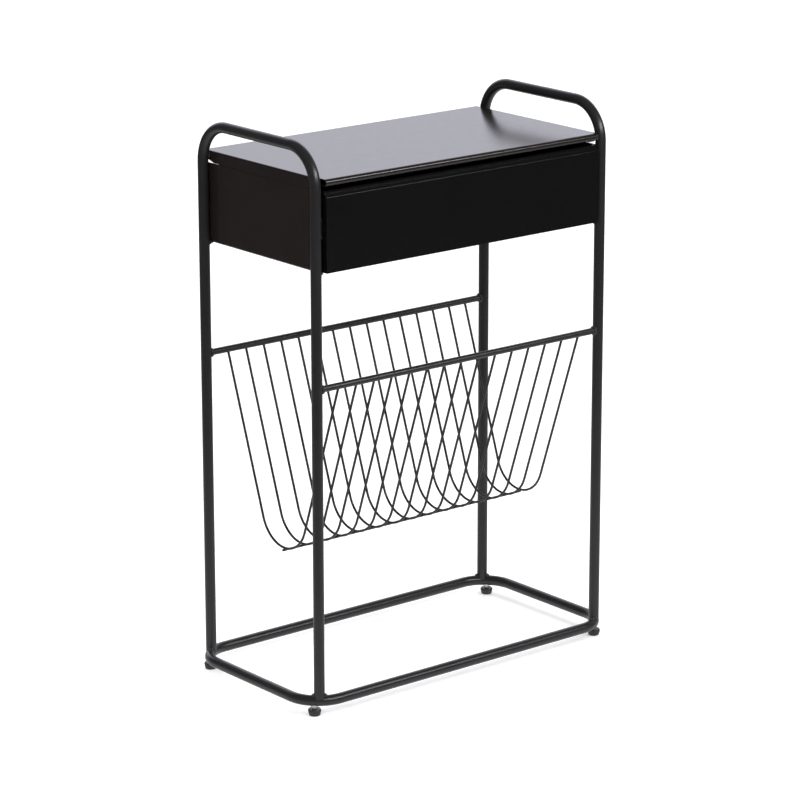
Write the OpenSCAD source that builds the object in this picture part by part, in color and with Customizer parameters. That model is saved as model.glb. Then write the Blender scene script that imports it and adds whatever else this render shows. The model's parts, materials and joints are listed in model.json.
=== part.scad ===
// Side table with a drawer and a wire magazine rack, all in millimetres.
// X runs along the length, -Y is the drawer side, Z is up and the floor is at z = 0.

/* [Overall] */
// Floor to the top of the carrying handles
total_h = 687; // [600:1:760]
// Floor to the top of the table plate
plate_top_z = 646.5; // [580:0.5:720]

/* [Tube frame] */
// Outside diameter of the round tube
tube_d = 13; // [10:0.1:20]
// Wall of the round tube
tube_wall = 1.2; // [0.8:0.1:2]
// Leg axis to the middle of the table, along the length
leg_x = 219; // [180:1:260]
// Leg axis to the middle of the table, along the depth
leg_y = 108; // [90:1:140]
// Centreline radius of the bends at the top of the hoops
hoop_bend_r = 46; // [30:1:60]
// Height of the axis of the base ring
ring_z = 18; // [16:0.5:25]
// Ring axis to the middle of the table, along the length
ring_x = 235.5; // [200:0.5:280]
// Ring axis to the middle of the table, along the depth
ring_y = 116.2; // [100:0.1:150]
// Centreline radius of the ring corners
ring_bend_r = 42; // [30:1:60]

/* [Feet] */
// Nominal diameter of the foot screws
stud_d = 6; // [5:1:8]
// Diameter of the plastic foot
pad_d = 15.6; // [12:0.1:24]
// Height of the plastic foot
pad_h = 8; // [5:0.5:12]

/* [Table plate] */
// Sheet thickness of the plate
plate_t = 1.2; // [0.8:0.1:2]
// Height of the flanges at the sides and back
flange_h = 14; // [8:0.5:20]
// Height of the rolled front edge
nose_h = 8.4; // [4:0.2:12]
// Front face of the plate and of the drawer
front_y = -115.5; // [-150:0.5:-100]
// Back face of the plate
plate_back_y = 115.8; // [100:0.1:150]

/* [Drawer box] */
// Sheet thickness of the box
box_t = 1; // [0.6:0.1:2]
// Underside of the box
box_bottom_z = 536; // [480:0.5:600]
// Top edge of the side walls
box_top_z = 632; // [600:0.5:640]
// Top edge of the back wall
box_back_top_z = 625; // [600:0.5:632]

/* [Drawer] */
// Depth of the drawer front
drawer_front_t = 8.8; // [6:0.1:20]
// Half the length of the drawer front and of the rolled plate edge above it
front_x = 209; // [190:0.5:212]
// Size of the bevelled finger pull along the top of the drawer front
bevel = 6.5; // [3:0.5:12]
// Sheet thickness of the drawer tray
tray_t = 0.8; // [0.6:0.1:1.5]
// Half the outside width of the tray
tray_x = 202; // [180:1:205]
// Height of the tray walls
tray_h = 76; // [50:1:80]

/* [Magazine rack] */
// Height of the axis of the two rack rails
rail_z = 399; // [340:1:460]
// Diameter of the rack rails
rail_d = 8; // [6:0.1:12]
// Number of wires
wire_count = 15; // [7:2:21]
// Spacing of the wires
wire_pitch = 26.7; // [20:0.1:40]
// Diameter of the wires and of the rod under them
wire_d = 3; // [2:0.1:5]
// Lean of the straight sides of the wires from upright
wire_lean = 19; // [10:0.5:30]
// Centreline radius at the bottom of the wires
wire_bend_r = 43; // [30:1:60]

/* [Hidden] */
tube_r = tube_d / 2;
bore_r = tube_r - tube_wall;
hoop_top_z = total_h - tube_r;
// the plate and the box fit between the two hoops
inside_x = leg_x - tube_r;
ring_bottom_z = ring_z - tube_r;
foot_x = ring_x - ring_bend_r * (1 - cos(45));
foot_y = ring_y - ring_bend_r * (1 - cos(45));
stud_r = stud_d / 2 - 0.05;
insert_r = 4.5;
insert_h = 9;
insert_bottom_z = ring_bottom_z - 0.6;
stud_top_z = insert_bottom_z + insert_h - 0.5;
fold_r = 2.2;
nose_r = nose_h / 2;
nose_y = front_y + nose_r;
nose_z = plate_top_z - nose_r;
flange_bottom_z = plate_top_z - flange_h;
nose_bottom_z = plate_top_z - nose_h;
nose_lip = 6;
relief_y = 95;
// the flange corners rise by this much towards the legs
relief_rise = 4;
notch_y = leg_y - 3.5;
relief_x = 203;
box_front_y = front_y + drawer_front_t + 1;
box_back_y = leg_y + tube_r;
box_inner_x = inside_x - box_t;
box_floor_z = box_bottom_z + box_t;
box_lip = 9;
front_back_y = front_y + drawer_front_t;
front_bottom_z = box_bottom_z + 1;
front_top_z = box_top_z;
front_sheet = 1;
front_lip = 17;
tray_bottom_z = box_floor_z + 5.5;
tray_hem = 5;
tray_back_y = 105;
runner_z = 587;
runner_h = 24;
runner_t = 1;
runner_tip_x = inside_x - 9.5;
runner_y = 103;
slide_h = 18;
slide_tip_x = box_inner_x - 2.65;
glide_l = 19;
glide_gap = 0.3;
rivet_ys = [-90, -10, 70];
screw_x = 140;
screw_zs = [550, 609];
bumper_x = 120;
bumper_z = 582;
rail_r = rail_d / 2;
wire_r = wire_d / 2;
wire_centre_z = rail_z - leg_y / tan(wire_lean) + wire_bend_r / sin(wire_lean);
wire_straight = (leg_y - wire_bend_r * cos(wire_lean)) / sin(wire_lean);
// the straights run this far into the bend, so that each wire is one solid
wire_overlap = 0.8;
rod_z = wire_centre_z - wire_bend_r - 2 * wire_r;
rod_x = wire_pitch * (wire_count - 1) / 2 + 2.1;
frame_colour = [0.13, 0.13, 0.13];
sheet_colour = [0.1, 0.1, 0.1];
zinc_colour = [0.72, 0.73, 0.75];
nylon_colour = [0.9, 0.9, 0.87];
black_plastic = [0.05, 0.05, 0.05];
$fn = 48;

two_digits = function(n) str(n < 10 ? "0" : "", n);

// front left, front right, back right, back left
corners = [[-1, -1], [1, -1], [1, 1], [-1, 1]];

// ---------- shared shapes ----------

// a round bar of radius r from z = low to z = high
module upright(r, low, high) {
    translate([0, 0, low]) cylinder(h = high - low, r = r);
}

// a round bar of radius r along X
module bar_x(r, length) {
    rotate([0, 90, 0]) cylinder(h = length, r = r, center = true);
}

// a round bar of radius r along Y
module bar_y(r, length) {
    rotate([90, 0, 0]) cylinder(h = length, r = r, center = true);
}

// draws a flat shape in the YZ plane and gives it a length along X
module along_x(length) {
    rotate([90, 0, 90]) linear_extrude(height = length, center = true) children();
}

// draws a flat shape in the XZ plane and gives it a length along Y, from low to high
module along_y(low, high) {
    translate([0, high, 0]) rotate([90, 0, 0]) linear_extrude(height = high - low) children();
}

// a box given by its low and high corners
module block(low, high) {
    translate(low) cube(high - low);
}

// a flat rectangle from low to high with the corners at the low side rounded
module bowl_shape(low, high, r) {
    translate([low[0] + r, low[1]]) square([high[0] - low[0] - 2 * r, high[1] - low[1]]);
    translate([low[0], low[1] + r]) square([high[0] - low[0], high[1] - low[1] - r]);
    translate([low[0] + r, low[1] + r]) circle(r);
    translate([high[0] - r, low[1] + r]) circle(r);
}

module both_sides() {
    children();
    mirror([1, 0, 0]) children();
}

// ---------- tube frame ----------

// a solid hoop of radius r in the YZ plane at x = 0, its legs down to z = foot
module hoop_solid(r, foot) {
    for (s = [-1, 1]) {
        translate([0, s * leg_y, 0]) upright(r, foot, hoop_top_z - hoop_bend_r);
        translate([0, s * (leg_y - hoop_bend_r), hoop_top_z - hoop_bend_r])
            rotate([90, 0, 90])
            rotate([0, 0, s > 0 ? 0 : 90])
            rotate_extrude(angle = 90)
            translate([hoop_bend_r, 0]) circle(r);
    }
    translate([0, 0, hoop_top_z]) bar_y(r, 2 * (leg_y - hoop_bend_r));
}

// a solid ring of radius r round the base
module ring_solid(r) {
    straight_x = ring_x - ring_bend_r;
    straight_y = ring_y - ring_bend_r;
    translate([0, 0, ring_z]) {
        for (s = [-1, 1]) {
            translate([0, s * ring_y, 0]) bar_x(r, 2 * straight_x);
            translate([s * ring_x, 0, 0]) bar_y(r, 2 * straight_y);
        }
        for (i = [0:3])
            translate([corners[i][0] * straight_x, corners[i][1] * straight_y, 0])
                rotate([0, 0, 180 + 90 * i])
                rotate_extrude(angle = 90)
                translate([ring_bend_r, 0]) circle(r);
    }
}

module hoop(side) {
    color(frame_colour)
    difference() {
        translate([side * leg_x, 0, 0]) hoop_solid(tube_r, ring_z + 2.5);
        translate([side * leg_x, 0, 0]) hoop_solid(bore_r, ring_z);
        ring_solid(tube_r);
    }
}

module base_ring() {
    color(frame_colour)
    difference() {
        ring_solid(tube_r);
        ring_solid(bore_r);
        for (c = corners)
            translate([c[0] * foot_x, c[1] * foot_y, 0]) upright(insert_r, 0, ring_z);
    }
}

module foot_inserts() {
    color(zinc_colour)
    for (c = corners)
        translate([c[0] * foot_x, c[1] * foot_y, insert_bottom_z])
            difference() {
                cylinder(h = insert_h, r = insert_r);
                translate([0, 0, -1]) cylinder(h = insert_h + 2, r = stud_d / 2);
            }
}

module foot_stud(c) {
    color(zinc_colour)
    translate([c[0] * foot_x, c[1] * foot_y, 0]) {
        upright(stud_r, 3, stud_top_z - 0.6);
        translate([0, 0, stud_top_z - 0.6]) cylinder(h = 0.6, r1 = stud_r, r2 = stud_r - 0.6);
    }
}

module foot_pad(c) {
    pad_r = pad_d / 2;
    color(black_plastic)
    translate([c[0] * foot_x, c[1] * foot_y, 0])
        difference() {
            rotate_extrude()
                polygon([
                    [0, 0], [pad_r - 1.6, 0], [pad_r - 1, 0.8], [pad_r, pad_h - 2.6],
                    [pad_r, pad_h - 1], [pad_r - 0.8, pad_h], [0, pad_h]
                ]);
            upright(stud_r, 3, pad_h + 1);
            for (k = [0:11])
                rotate([0, 0, 30 * k]) translate([pad_r + 0.5, 0, 0]) upright(1.1, 2.2, pad_h + 1);
        }
}

// ---------- table plate ----------

// the plate's outline from the end, shrunk by the sheet thickness t
module plate_end_shape(t, bottom) {
    x = inside_x - t;
    r = fold_r - t;
    translate([-x + r, bottom]) square([2 * (x - r), plate_top_z - t - bottom]);
    translate([-x, bottom]) square([2 * x, plate_top_z - fold_r - bottom]);
    for (s = [-1, 1]) translate([s * (x - r), plate_top_z - fold_r]) circle(r);
}

// the plate's outline from the side, shrunk by the sheet thickness t
module plate_side_shape(t, bottom) {
    back = plate_back_y - t;
    r = fold_r - t;
    translate([nose_y, bottom]) square([back - r - nose_y, plate_top_z - t - bottom]);
    translate([nose_y, bottom]) square([back - nose_y, plate_top_z - fold_r - bottom]);
    translate([back - r, plate_top_z - fold_r]) circle(r);
    translate([nose_y, nose_z]) circle(nose_r - t);
}

// open space inside the rolled front edge and under the plate
module plate_hollow_shape() {
    difference() {
        plate_side_shape(plate_t, flange_bottom_z - 2);
        translate([nose_y - 0.01, flange_bottom_z - 3])
            square([nose_lip, nose_bottom_z + plate_t - flange_bottom_z + 3]);
    }
    translate([nose_y - nose_r, flange_bottom_z - 2])
        square([nose_r + nose_lip + 0.5, nose_bottom_z - flange_bottom_z + 2]);
}

// sloping cut that opens the lower corner of the flanges beside a leg
module flange_relief(s) {
    along_x(4 * leg_x)
        polygon([
            [s * (relief_y - 4), flange_bottom_z - 1.2],
            [s * (leg_y + 1), flange_bottom_z + relief_rise],
            [s * (leg_y + 40), flange_bottom_z + relief_rise],
            [s * (leg_y + 40), flange_bottom_z - 1.2]
        ]);
}

module top_plate() {
    color(sheet_colour)
    difference() {
        intersection() {
            along_y(front_y - 1, plate_back_y + 1) plate_end_shape(0, flange_bottom_z);
            along_x(2 * inside_x + 2) plate_side_shape(0, flange_bottom_z);
        }
        intersection() {
            along_y(front_y - 1, plate_back_y + 1) plate_end_shape(plate_t, flange_bottom_z - 2);
            along_x(2 * inside_x + 2) plate_hollow_shape();
        }
        difference() {
            flange_relief(1);
            block([-relief_x, 0, 0], [relief_x, 2 * leg_y, total_h]);
        }
        flange_relief(-1);
        both_sides() block([front_x, -2 * leg_y, 0], [leg_x, -notch_y, total_h]);
    }
}

// ---------- drawer box ----------

module box_wrap() {
    color(sheet_colour) {
        along_y(box_front_y, box_back_y)
            difference() {
                bowl_shape([-inside_x, box_bottom_z], [inside_x, box_top_z], box_t * 2);
                bowl_shape([-box_inner_x, box_floor_z], [box_inner_x, box_top_z + 1], box_t);
            }
        both_sides()
            block([box_inner_x - box_lip, -85, box_top_z - box_t], [box_inner_x, 85, box_top_z]);
    }
}

module box_back() {
    color(sheet_colour)
    difference() {
        along_y(box_back_y - 11, box_back_y)
            bowl_shape([-box_inner_x, box_floor_z], [box_inner_x, box_back_top_z], box_t * 1.5);
        along_y(box_back_y - 12, box_back_y - box_t)
            bowl_shape(
                [box_t - box_inner_x, box_floor_z + box_t],
                [box_inner_x - box_t, box_back_top_z + 1],
                box_t
            );
        for (s = [-1, 1])
            translate([s * bumper_x, box_back_y, bumper_z]) bar_y(2.5, 8);
    }
}

module rear_bumpers() {
    color(black_plastic)
    for (s = [-1, 1])
        translate([s * bumper_x, 0, bumper_z])
            rotate([-90, 0, 0])
            rotate_extrude()
                polygon([
                    [0, tray_back_y + 0.3], [4.5, tray_back_y + 0.3], [6, tray_back_y + 1.8],
                    [6, box_back_y - box_t], [2.5, box_back_y - box_t], [2.5, box_back_y],
                    [4, box_back_y], [3.6, box_back_y + 0.8], [0, box_back_y + 0.8]
                ]);
}

// fixed channel on the left side wall, open towards the drawer
module runner() {
    low = runner_z - runner_h / 2;
    color(zinc_colour)
    difference() {
        block([-box_inner_x, -runner_y, low], [-runner_tip_x, runner_y, low + runner_h]);
        block(
            [-box_inner_x + runner_t, -runner_y - 1, low + runner_t],
            [-runner_tip_x + 1, runner_y + 1, low + runner_h - runner_t]
        );
    }
}

// channel on the left side of the tray, open towards the side wall
module slide_shape() {
    low = runner_z - slide_h / 2;
    difference() {
        block([-slide_tip_x, front_back_y + 0.8, low], [-tray_x, runner_y, low + slide_h]);
        block(
            [-slide_tip_x - 1, front_back_y, low + runner_t],
            [-tray_x - runner_t, runner_y + 1, low + slide_h - runner_t]
        );
    }
}

module slide() {
    color(zinc_colour)
    difference() {
        slide_shape();
        rivets();
    }
}

// rivets that hold the left slide to the tray
module rivets() {
    for (y = rivet_ys)
        translate([-tray_x, y, runner_z])
            rotate([0, 90, 0]) {
                cylinder(h = runner_t + tray_t, r = 1.6, center = true);
                translate([0, 0, tray_t]) cylinder(h = 0.9, r1 = 3, r2 = 1.8);
                translate([0, 0, -runner_t - 0.9]) cylinder(h = 0.9, r1 = 1.8, r2 = 3);
                translate([0, 0, -runner_t]) cylinder(h = runner_t + tray_t, r = 1.6);
            }
}

module slide_rivets() {
    color(zinc_colour) both_sides() rivets();
}

// guide fixed in the front end of the left runner; the slide runs through it
module front_glide() {
    low = runner_z - runner_h / 2 + runner_t;
    high = runner_z + runner_h / 2 - runner_t;
    color(nylon_colour)
    difference() {
        block([-box_inner_x + runner_t, -runner_y, low], [-runner_tip_x - 0.2, glide_l - runner_y, high]);
        block(
            [-slide_tip_x - 0.4, -runner_y - 1, runner_z - slide_h / 2 - glide_gap],
            [-tray_x, glide_l - runner_y + 1, runner_z + slide_h / 2 + glide_gap]
        );
    }
}

// block on the rear end of the left slide; it runs inside the runner and meets the front glide
module rear_glide() {
    low = runner_z - runner_h / 2 + runner_t + glide_gap;
    high = runner_z + runner_h / 2 - runner_t - glide_gap;
    color(nylon_colour)
    difference() {
        block(
            [-box_inner_x + runner_t + 0.4, runner_y - 2 - glide_l, low],
            [-tray_x - runner_t, runner_y - 2, high]
        );
        slide_shape();
    }
}

// ---------- drawer ----------

// side outline of the drawer front, shrunk by t
module drawer_front_shape(t, back) {
    slope = t * (sqrt(2) - 1);
    polygon([
        [front_y + t, front_bottom_z + t],
        [front_y + t, front_top_z - bevel - slope],
        [front_y + bevel + slope, front_top_z - t],
        [back, front_top_z - t],
        [back, front_bottom_z + t]
    ]);
}

module drawer_front() {
    back = front_back_y;
    color(sheet_colour)
    difference() {
        along_x(2 * front_x) drawer_front_shape(0, back);
        along_x(2 * (front_x - front_sheet)) drawer_front_shape(front_sheet, back - front_sheet);
        block(
            [front_lip - front_x, back - 2, front_bottom_z + front_lip],
            [front_x - front_lip, back + 1, front_top_z - 1.6 * front_lip]
        );
        drawer_screw_shafts(2);
    }
}

// screws through the tray into the lip of the drawer front; they end inside their heads
module drawer_screw_shafts(r) {
    low = front_back_y - 3.5;
    high = front_back_y + tray_t + 0.4;
    for (x = [-screw_x, screw_x], z = screw_zs)
        translate([x, (low + high) / 2, z]) bar_y(r, high - low);
}

module drawer_screws() {
    color(zinc_colour) {
        drawer_screw_shafts(2);
        for (x = [-screw_x, screw_x], z = screw_zs)
            translate([x, front_back_y + tray_t, z])
                rotate([-90, 0, 0])
                difference() {
                    cylinder(h = 2.2, r1 = 3.8, r2 = 3.1);
                    for (a = [0, 90])
                        rotate([0, 0, a]) block([-2, -0.4, 1], [2, 0.4, 3]);
                }
    }
}

// flat rounded rectangle for the tray, its walls moved in by t
module tray_plan(t) {
    x = tray_x - t;
    y_low = front_back_y + t;
    y_high = tray_back_y - t;
    r = 3 - t;
    translate([-x + r, y_low]) square([2 * (x - r), y_high - y_low]);
    translate([-x, y_low + r]) square([2 * x, y_high - y_low - 2 * r]);
    for (sx = [-1, 1], y = [y_low + r, y_high - r]) translate([sx * (x - r), y]) circle(r);
}

module drawer_tray() {
    top = tray_bottom_z + tray_h;
    color(sheet_colour)
    difference() {
        translate([0, 0, tray_bottom_z]) linear_extrude(height = tray_h) tray_plan(0);
        translate([0, 0, tray_bottom_z + tray_t]) linear_extrude(height = tray_h - tray_hem) tray_plan(tray_t);
        translate([0, 0, top - tray_hem]) linear_extrude(height = tray_hem + 1) tray_plan(2 * tray_t);
        both_sides() rivets();
        drawer_screw_shafts(2);
    }
}

// ---------- magazine rack ----------

module rail(side) {
    color(frame_colour)
    difference() {
        translate([0, side * leg_y, rail_z]) bar_x(rail_r, 2 * leg_x);
        for (s = [-1, 1])
            translate([s * leg_x, side * leg_y, 0])
                upright(tube_r, rail_z - 3 * tube_r, rail_z + 3 * tube_r);
    }
}

// one wire bent to a V with a round bottom, its ends trimmed to the rails
module basket_wire(i) {
    color(frame_colour)
    translate([wire_pitch * (i - (wire_count + 1) / 2), 0, 0])
        difference() {
            union() {
                translate([0, 0, wire_centre_z])
                    rotate([90, 0, 90])
                    rotate([0, 0, 180 + wire_lean])
                    rotate_extrude(angle = 180 - 2 * wire_lean)
                    translate([wire_bend_r, 0]) circle(wire_r);
                for (s = [-1, 1])
                    translate([
                        0,
                        s * wire_bend_r * cos(wire_lean),
                        wire_centre_z - wire_bend_r * sin(wire_lean)
                    ])
                        rotate([-s * wire_lean, 0, 0])
                        upright(wire_r + 0.03, -wire_overlap, wire_straight);
            }
            for (s = [-1, 1])
                translate([0, s * leg_y, rail_z]) bar_x(rail_r, 20);
        }
}

module rack_rod() {
    color(frame_colour) translate([0, 0, rod_z]) bar_x(wire_r, 2 * rod_x);
}

// ---------- welds ----------

// everything the welds are trimmed against
module welded_parts() {
    for (s = [-1, 1]) {
        translate([s * leg_x, 0, 0]) hoop_solid(tube_r, ring_z);
        translate([0, s * leg_y, rail_z]) bar_x(rail_r, 2 * leg_x);
    }
}

module leg_welds() {
    centre_x = ring_x - ring_bend_r;
    centre_y = ring_y - ring_bend_r;
    turn = atan2(leg_y - centre_y, leg_x - centre_x);
    color(frame_colour)
    difference() {
        for (c = corners, s = [-1, 1])
            translate([c[0] * centre_x, c[1] * centre_y, 0])
                mirror([c[0] < 0 ? 1 : 0, 0, 0])
                mirror([0, c[1] < 0 ? 1 : 0, 0])
                rotate([0, 0, turn + s * 9])
                translate([ring_bend_r, 0, ring_z + tube_r - 0.6])
                sphere(3.2);
        ring_solid(tube_r);
        for (s = [-1, 1])
            translate([s * leg_x, 0, 0]) hoop_solid(tube_r, ring_z);
    }
}

module rail_welds() {
    color(frame_colour)
    difference() {
        for (sx = [-1, 1], sy = [-1, 1])
            translate([sx * (inside_x - 0.4), sy * leg_y, rail_z])
                rotate([0, 90, 0])
                rotate_extrude()
                translate([rail_r + 0.5, 0]) circle(1.5);
        welded_parts();
    }
}

// hollow fillets between the legs and the underside of the box
module box_welds() {
    color(frame_colour)
    intersection() {
        for (c = corners)
            translate([c[0] * leg_x, c[1] * leg_y, box_bottom_z])
                rotate_extrude()
                polygon([
                    [tube_r, 0], [tube_r, -5.5], [tube_r + 0.9, -3.4],
                    [tube_r + 2.6, -1.4], [tube_r + 5, 0]
                ]);
        block([0.4 - inside_x, -leg_y, 0], [inside_x - 0.4, leg_y, box_top_z]);
    }
}

// small beads in the corners between the legs and the flanges, drawn finer than the rest
module plate_welds() {
    $fn = 192;
    color(frame_colour)
    difference() {
        for (sx = [-1, 1], sy = [-1, 1])
            translate([sx * (inside_x + 1), sy * (leg_y - 4.4), 0])
                upright(1.5, nose_bottom_z + 0.5, plate_top_z - fold_r);
        welded_parts();
        block([-inside_x, -leg_y, 0], [inside_x, leg_y, total_h]);
    }
}

// ---------- what is drawn ----------

hoop(-1);  // left_hoop
hoop(1);  // right_hoop
base_ring();
top_plate();
box_wrap();
box_back();
drawer_front();
drawer_tray();
drawer_screws();
runner();  // runner_left
mirror([1, 0, 0]) runner();  // runner_right
slide();  // slide_left
mirror([1, 0, 0]) slide();  // slide_right
slide_rivets();
front_glide();  // front_glide_left
mirror([1, 0, 0]) front_glide();  // front_glide_right
rear_glide();  // rear_glide_left
mirror([1, 0, 0]) rear_glide();  // rear_glide_right
rear_bumpers();
rail(1);  // rear_rail
rail(-1);  // front_rail
for (i = [1:wire_count])
    basket_wire(i);
rack_rod();
foot_inserts();
leg_welds();
rail_welds();
box_welds();
plate_welds();
for (i = [1:4]) {
    foot_stud(corners[i - 1]);
    foot_pad(corners[i - 1]);
}
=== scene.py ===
"""Looks for the side table with a drawer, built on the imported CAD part. Lengths are in metres."""
import json
import math

import bpy
from mathutils import Matrix, Vector


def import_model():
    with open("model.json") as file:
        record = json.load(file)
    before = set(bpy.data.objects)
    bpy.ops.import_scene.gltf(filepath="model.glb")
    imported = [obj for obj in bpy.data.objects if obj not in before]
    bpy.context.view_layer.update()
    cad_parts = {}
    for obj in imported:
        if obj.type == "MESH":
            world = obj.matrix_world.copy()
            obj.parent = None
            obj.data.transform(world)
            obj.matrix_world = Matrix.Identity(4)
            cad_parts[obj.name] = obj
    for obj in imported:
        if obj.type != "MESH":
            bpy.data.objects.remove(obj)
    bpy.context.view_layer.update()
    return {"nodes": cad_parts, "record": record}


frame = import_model()
scene = bpy.context.scene
nodes = frame["nodes"]

# how far the shading rounds sharp edges, in metres
PAINT_EDGE = 0.0005
ZINC_EDGE = 0.0003
PLASTIC_EDGE = 0.0004
# texture scales: a larger value gives a finer pattern
RIPPLE_SCALE = 260.0
SPANGLE_SCALE = 260.0
DUST_COLOUR = (0.3, 0.29, 0.28)

# brightness of what the paint mirrors
WALL_GLOW = 1.6
FLOOR_GLOW = 0.8
ROOM_GLOW = 0.06
STUDIO_TINT = (0.89, 0.89, 1.0)
# the lit wall: the side it stands on, and where its side and lower edges fade in
WALL_SIDE = (0.63, 0.77, 0.0)
WALL_SIDE_FADE = (0.5, 0.9)
WALL_FOOT_FADE = (0.02, 0.2)
# the lit patch of floor: its middle, and the radii between which it fades out
PATCH_MIDDLE = (0.5, 0.5, 0.0)
PATCH_FADE = (0.9, 2.1)
PAPER_SIZE = 40.0
PAPER_GREY = 0.93
# the softboxes face this point
LIGHT_TARGET = (0, 0, 0.4)


# ---------- material helpers ----------

class Shader:
    """A node material being built, with short calls for the nodes used here."""

    def __init__(self, name):
        self.material = bpy.data.materials.new(name)
        self.material.use_nodes = True
        self.tree = self.material.node_tree
        self.surface = self.tree.nodes["Principled BSDF"]
        coordinates = self.add("ShaderNodeTexCoord")
        self.place = coordinates.outputs["Object"]

    def add(self, kind, **settings):
        node = self.tree.nodes.new(kind)
        for key, value in settings.items():
            setattr(node, key, value)
        return node

    def link(self, source, target):
        self.tree.links.new(source, target)

    def stretched(self, scale):
        """Object coordinates scaled by a different amount along each axis."""
        mapping = self.add("ShaderNodeMapping")
        mapping.inputs["Scale"].default_value = scale
        self.link(self.place, mapping.inputs["Vector"])
        return mapping.outputs["Vector"]

    def noise(self, scale, detail=2.0, roughness=0.5, place=None):
        node = self.add("ShaderNodeTexNoise")
        node.inputs["Scale"].default_value = scale
        node.inputs["Detail"].default_value = detail
        node.inputs["Roughness"].default_value = roughness
        self.link(place or self.place, node.inputs["Vector"])
        return node.outputs["Fac"]

    def remap(self, value, low, high, from_low=0.3, from_high=0.7):
        node = self.add("ShaderNodeMapRange")
        node.inputs["From Min"].default_value = from_low
        node.inputs["From Max"].default_value = from_high
        node.inputs["To Min"].default_value = low
        node.inputs["To Max"].default_value = high
        self.link(value, node.inputs["Value"])
        return node.outputs["Result"]

    def mix_colours(self, factor, first, second):
        node = self.add("ShaderNodeMix", data_type="RGBA")
        self.link(factor, node.inputs["Factor"])
        for socket, colour in ((node.inputs["A"], first), (node.inputs["B"], second)):
            if hasattr(colour, "links"):
                self.link(colour, socket)
            else:
                socket.default_value = (*colour, 1.0)
        return node.outputs["Result"]

    def bump(self, height, distance, strength=1.0, normal=None):
        node = self.add("ShaderNodeBump")
        node.inputs["Strength"].default_value = strength
        node.inputs["Distance"].default_value = distance
        self.link(height, node.inputs["Height"])
        if normal is not None:
            self.link(normal, node.inputs["Normal"])
        return node.outputs["Normal"]

    def rounded_edges(self, radius):
        node = self.add("ShaderNodeBevel", samples=4)
        node.inputs["Radius"].default_value = radius
        return node.outputs["Normal"]

    def upward(self):
        """1 where the surface faces up and 0 where it faces sideways or down."""
        geometry = self.add("ShaderNodeNewGeometry")
        split = self.add("ShaderNodeSeparateXYZ")
        self.link(geometry.outputs["Normal"], split.inputs["Vector"])
        return self.remap(split.outputs["Z"], 0.0, 1.0, from_low=0.6, from_high=1.0)

    def set(self, **values):
        for key, value in values.items():
            self.surface.inputs[key.replace("_", " ")].default_value = value

    def feed(self, **sources):
        for key, source in sources.items():
            self.link(source, self.surface.inputs[key.replace("_", " ")])


def powder_coat(name, colour, lighter, rough, peel):
    """Baked powder paint: a fine orange-peel skin, slight cloudiness and a trace of dust on top."""
    shader = Shader(name)
    fine = shader.noise(scale=1500.0, detail=3.0)
    broad = shader.noise(scale=160.0, detail=2.0)
    cloud = shader.noise(scale=14.0, detail=3.0)
    specks = shader.noise(scale=5200.0, detail=1.0)
    dust = shader.add("ShaderNodeMath", operation="MULTIPLY")
    shader.link(shader.upward(), dust.inputs[0])
    shader.link(shader.remap(specks, 0.0, 0.05, from_low=0.55, from_high=0.75), dust.inputs[1])
    paint = shader.mix_colours(shader.remap(cloud, 0.0, 1.0), colour, lighter)
    dusty = shader.mix_colours(dust.outputs["Value"], paint, DUST_COLOUR)
    skin = shader.bump(fine, peel, normal=shader.rounded_edges(PAINT_EDGE))
    waves = shader.bump(broad, peel * 3.0, strength=0.6, normal=skin)
    shader.feed(Base_Color=dusty, Normal=waves)
    shader.feed(Roughness=shader.remap(broad, rough - 0.01, rough + 0.01))
    shader.set(IOR=1.5)
    return shader.material


def weld_paint():
    """Painted weld bead with the ripples of the pool showing through."""
    shader = Shader("weld paint")
    ripples = shader.add("ShaderNodeTexWave", wave_type="RINGS", rings_direction="Z")
    ripples.inputs["Scale"].default_value = RIPPLE_SCALE
    ripples.inputs["Distortion"].default_value = 5.0
    ripples.inputs["Detail"].default_value = 2.0
    shader.link(shader.place, ripples.inputs["Vector"])
    spatter = shader.noise(scale=700.0, detail=4.0)
    bead = shader.bump(ripples.outputs["Fac"], distance=0.0005)
    rough = shader.bump(spatter, distance=0.0004, normal=bead)
    colour = shader.mix_colours(spatter, (0.02, 0.019, 0.02), (0.045, 0.043, 0.045))
    shader.feed(Base_Color=colour, Normal=rough)
    shader.feed(Roughness=shader.remap(spatter, 0.22, 0.4))
    return shader.material


def zinc(name, along):
    """Zinc plating over rolled steel: fine lines along one axis (0 to 2), soft spangle and stains."""
    shader = Shader(name)
    scale = [900.0, 900.0, 900.0]
    scale[along] = 12.0
    lines = shader.noise(scale=1.0, detail=4.0, roughness=0.7, place=shader.stretched(scale))
    spangle = shader.add("ShaderNodeTexVoronoi")
    spangle.inputs["Scale"].default_value = SPANGLE_SCALE
    shader.link(shader.place, spangle.inputs["Vector"])
    stain = shader.noise(scale=45.0, detail=5.0, roughness=0.6)
    plated = shader.mix_colours(stain, (0.62, 0.63, 0.66), (0.5, 0.5, 0.47))
    crystals = shader.remap(spangle.outputs["Distance"], 0.0, 0.35, from_low=0.0, from_high=1.0)
    shader.feed(Base_Color=shader.mix_colours(crystals, plated, (0.74, 0.76, 0.82)))
    shader.feed(Roughness=shader.remap(lines, 0.24, 0.46))
    shader.feed(Normal=shader.bump(lines, distance=0.00004, normal=shader.rounded_edges(ZINC_EDGE)))
    shader.set(Metallic=1.0, Anisotropic=0.4)
    return shader.material


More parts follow.
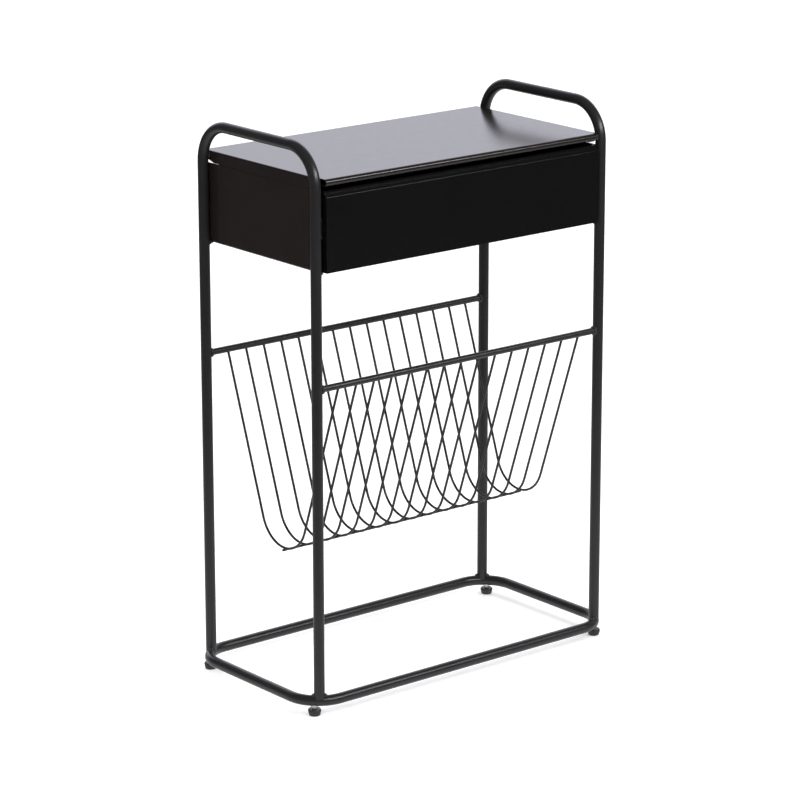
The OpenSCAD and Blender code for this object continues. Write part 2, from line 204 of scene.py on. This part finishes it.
def moulded_plastic(name, colour, lighter, rough, grain, see_in=0.0):
    """Moulded plastic or rubber with a spark-eroded grain and a few scuffs."""
    shader = Shader(name)
    texture = shader.noise(scale=grain, detail=3.0, roughness=0.6)
    scuffs = shader.noise(scale=1.0, detail=3.0, place=shader.stretched((1500.0, 90.0, 400.0)))
    body = shader.mix_colours(shader.noise(scale=60.0), colour, lighter)
    scuffed = tuple(min(1.0, 2.5 * channel + 0.05) for channel in lighter)
    worn = shader.remap(scuffs, 0.0, 0.3, from_low=0.62, from_high=0.8)
    shader.feed(Base_Color=shader.mix_colours(worn, body, scuffed))
    shader.feed(Roughness=shader.remap(scuffs, rough - 0.06, rough + 0.08))
    shader.feed(Normal=shader.bump(texture, distance=0.00008, normal=shader.rounded_edges(PLASTIC_EDGE)))
    shader.set(Subsurface_Weight=see_in, Subsurface_Scale=0.002)
    return shader.material


# ---------- materials on the CAD nodes ----------

materials = {
    "tube_paint": powder_coat(
        "tube paint",
        colour=(0.012, 0.0108, 0.0116),
        lighter=(0.015, 0.0137, 0.0143),
        rough=0.3,
        peel=0.00002,
    ),
    "wire_paint": powder_coat(
        "wire paint",
        colour=(0.008, 0.008, 0.008),
        lighter=(0.014, 0.0135, 0.014),
        rough=0.36,
        peel=0.00002,
    ),
    # the same black powder coat as the drawer front, painted lighter and warmer: the side panels' brown
    # cast is a painted reflection
    "sheet_paint": powder_coat(
        "sheet paint with painted warm reflection",
        colour=(0.009, 0.0066, 0.006),
        lighter=(0.011, 0.0082, 0.0075),
        rough=0.2,
        peel=0.000002,
    ),
    # the same black powder coat as the sheets, painted darker: the drawer front's shade is painted into
    # its colour
    "drawer_paint": powder_coat(
        "drawer paint with painted shade",
        colour=(0.002, 0.002, 0.002),
        lighter=(0.0026, 0.0026, 0.0026),
        rough=0.22,
        peel=0.000003,
    ),
    "weld_paint": weld_paint(),
    "runner_zinc": zinc("runner zinc", along=1),
    "zinc": zinc("bright zinc", along=2),
    "nylon": moulded_plastic(
        "nylon",
        colour=(0.78, 0.77, 0.7),
        lighter=(0.84, 0.83, 0.78),
        rough=0.42,
        grain=900.0,
        see_in=0.2,
    ),
    "bumper_rubber": moulded_plastic(
        "bumper rubber",
        colour=(0.014, 0.014, 0.014),
        lighter=(0.03, 0.029, 0.028),
        rough=0.7,
        grain=1400.0,
    ),
    "foot_plastic": moulded_plastic(
        "foot plastic",
        colour=(0.012, 0.012, 0.012),
        lighter=(0.02, 0.02, 0.02),
        rough=0.42,
        grain=1800.0,
    ),
}
for part in frame["record"]["subparts"]:
    mesh = nodes[part["node"]].data
    mesh.materials.clear()
    mesh.materials.append(materials[part["material_slot"]])


# ---------- floor, light and camera ----------

def floor():
    """Pale paper. Seen in the paint, only the part behind and to the right of the table is lit."""
    bpy.ops.mesh.primitive_plane_add(size=PAPER_SIZE)
    plane = bpy.context.object
    plane.name = "floor"
    paper = Shader("floor paper")
    paper.set(Base_Color=(PAPER_GREY, PAPER_GREY, PAPER_GREY, 1.0), Roughness=0.9)
    paper.set(Emission_Color=(1.0, 1.0, 1.0, 1.0), Emission_Strength=0.2)
    distance = paper.add("ShaderNodeVectorMath", operation="DISTANCE")
    distance.inputs[1].default_value = PATCH_MIDDLE
    paper.link(paper.place, distance.inputs[0])
    mirrored = paper.add("ShaderNodeEmission")
    glow = paper.remap(distance.outputs["Value"], FLOOR_GLOW, ROOM_GLOW, *PATCH_FADE)
    paper.link(glow, mirrored.inputs["Strength"])
    path = paper.add("ShaderNodeLightPath")
    mix = paper.add("ShaderNodeMixShader")
    paper.link(path.outputs["Is Glossy Ray"], mix.inputs["Fac"])
    paper.link(paper.surface.outputs["BSDF"], mix.inputs[1])
    paper.link(mirrored.outputs["Emission"], mix.inputs[2])
    paper.link(mix.outputs["Shader"], paper.tree.nodes["Material Output"].inputs["Surface"])
    plane.data.materials.append(paper.material)


def world():
    """White behind the object; reflections see a dark studio with a tall lit wall behind the table."""
    studio = bpy.data.worlds.new("studio")
    scene.world = studio
    studio.use_nodes = True
    tree = studio.node_tree
    tree.nodes.clear()

    def add(kind, **settings):
        node = tree.nodes.new(kind)
        for key, value in settings.items():
            setattr(node, key, value)
        return node

    def smooth(value, low, high):
        node = add("ShaderNodeMapRange", interpolation_type="SMOOTHSTEP")
        node.inputs["From Min"].default_value = low
        node.inputs["From Max"].default_value = high
        tree.links.new(value, node.inputs["Value"])
        return node.outputs["Result"]

    def combine(operation, first, second):
        node = add("ShaderNodeMath", operation=operation)
        for socket, value in zip(node.inputs, (first, second)):
            if isinstance(value, float):
                socket.default_value = value
            else:
                tree.links.new(value, socket)
        return node.outputs["Value"]

    direction = add("ShaderNodeTexCoord").outputs["Generated"]
    behind = add("ShaderNodeVectorMath", operation="DOT_PRODUCT")
    behind.inputs[1].default_value = WALL_SIDE
    tree.links.new(direction, behind.inputs[0])
    height = add("ShaderNodeSeparateXYZ")
    tree.links.new(direction, height.inputs["Vector"])
    across = smooth(behind.outputs["Value"], *WALL_SIDE_FADE)
    above = smooth(height.outputs["Z"], *WALL_FOOT_FADE)
    wall = combine("MULTIPLY", combine("MULTIPLY", across, above), WALL_GLOW)
    total = combine("ADD", wall, ROOM_GLOW)
    path = add("ShaderNodeLightPath")
    seen = add("ShaderNodeBackground")
    reflected = add("ShaderNodeBackground")
    reflected.inputs["Color"].default_value = (*STUDIO_TINT, 1.0)
    tree.links.new(total, reflected.inputs["Strength"])
    seen.inputs["Color"].default_value = (1.0, 1.0, 1.0, 1.0)
    mix = add("ShaderNodeMixShader")
    output = add("ShaderNodeOutputWorld")
    tree.links.new(path.outputs["Is Camera Ray"], mix.inputs["Fac"])
    tree.links.new(reflected.outputs["Background"], mix.inputs[1])
    tree.links.new(seen.outputs["Background"], mix.inputs[2])
    tree.links.new(mix.outputs["Shader"], output.inputs["Surface"])


def soft_light(name, place, width, height, power, mirrored):
    """A softbox that faces the table. It is either mirrored in the paint or only brightens it evenly."""
    data = bpy.data.lights.new(name, "AREA")
    data.shape = "RECTANGLE"
    data.size = width
    data.size_y = height
    data.energy = power
    light = bpy.data.objects.new(name, data)
    scene.collection.objects.link(light)
    light.location = place
    aim = Vector(LIGHT_TARGET) - Vector(place)
    light.rotation_euler = aim.to_track_quat("-Z", "Y").to_euler()
    light.visible_glossy = mirrored
    light.visible_diffuse = not mirrored


def sky_panel(power, spread):
    """Very wide light from straight above, which whitens the floor and leaves soft contact shadows."""
    data = bpy.data.lights.new("overhead", "SUN")
    data.energy = power
    data.angle = math.radians(spread)
    light = bpy.data.objects.new("overhead", data)
    scene.collection.objects.link(light)
    light.location = (0, 0, 3)
    light.visible_glossy = False


def camera(azimuth, elevation, roll, distance, aim, lens):
    """A camera that looks at the aim. Azimuth 0 looks at the drawer; angles are in degrees."""
    data = bpy.data.cameras.new("camera")
    data.lens = lens
    data.sensor_width = 36.0
    data.clip_start = 0.1
    data.clip_end = 200.0
    view = bpy.data.objects.new("camera", data)
    scene.collection.objects.link(view)
    a = math.radians(azimuth)
    e = math.radians(elevation)
    back = Vector((math.sin(a) * math.cos(e), -math.cos(a) * math.cos(e), math.sin(e)))
    right = Vector((math.cos(a), math.sin(a), 0.0))
    turn = Matrix((right, back.cross(right), back)).transposed()
    turn = turn @ Matrix.Rotation(math.radians(roll), 3, "Z")
    view.matrix_world = Matrix.Translation(Vector(aim) + back * distance) @ turn.to_4x4()
    scene.camera = view


floor()
world()
sky_panel(power=3.0, spread=120.0)
soft_light("strip", (0.43, -2.0, 1.65), width=2.6, height=0.5, power=44.0, mirrored=True)
soft_light("key", (0.9, -1.7, 1.85), width=1.0, height=1.0, power=22.0, mirrored=False)
soft_light("fill", (-2.6, -1.6, 1.6), width=1.6, height=1.6, power=40.0, mirrored=False)
camera(
    azimuth=-39.235,
    elevation=15.719,
    roll=-0.077,
    distance=4.1993,
    aim=(-0.0072, 0.0, 0.3262),
    lens=154.96,
)
scene.view_settings.view_transform = "Standard"
scene.view_settings.look = "None"
